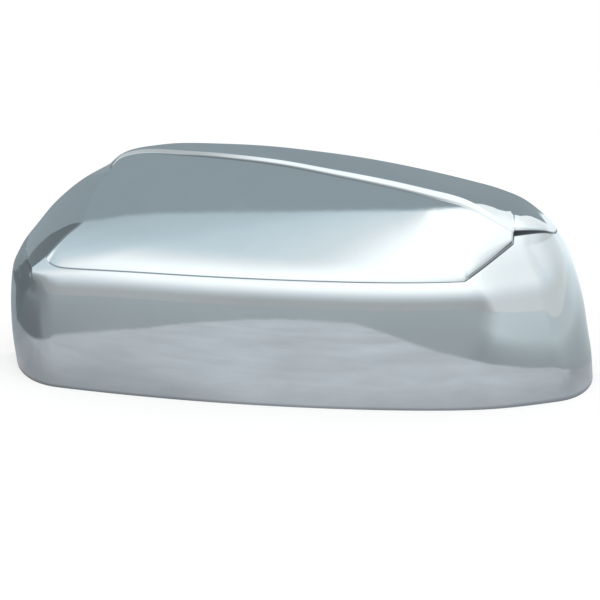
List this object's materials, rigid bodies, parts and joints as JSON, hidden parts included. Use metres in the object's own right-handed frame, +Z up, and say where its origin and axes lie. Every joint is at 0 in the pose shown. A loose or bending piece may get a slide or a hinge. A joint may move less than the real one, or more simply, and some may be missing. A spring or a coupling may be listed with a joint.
{
  "type": "wing mirror cover",
  "caption": "Chromed one-piece cover shell for a car's wing mirror, with a leaf-shaped panel, a ridged top strip, locating pegs and snap arms inside.",
  "frame": {"origin": "below the middle of the cover, on the plane of its bottom edge", "axes": "+Z up, +X along the cover from its round deep end to its shallow end, -Y towards the front"},
  "size_m": [0.2428, 0.0766, 0.0942],
  "materials": {
    "chrome_plating": "bright plated, mirror smooth",
    "bare_moulding": "unplated inner side of the moulding, satin"
  },
  "bodies": {
    "root": {"mirror_cover": "chrome_plating"}
  },
  "joints": []
}
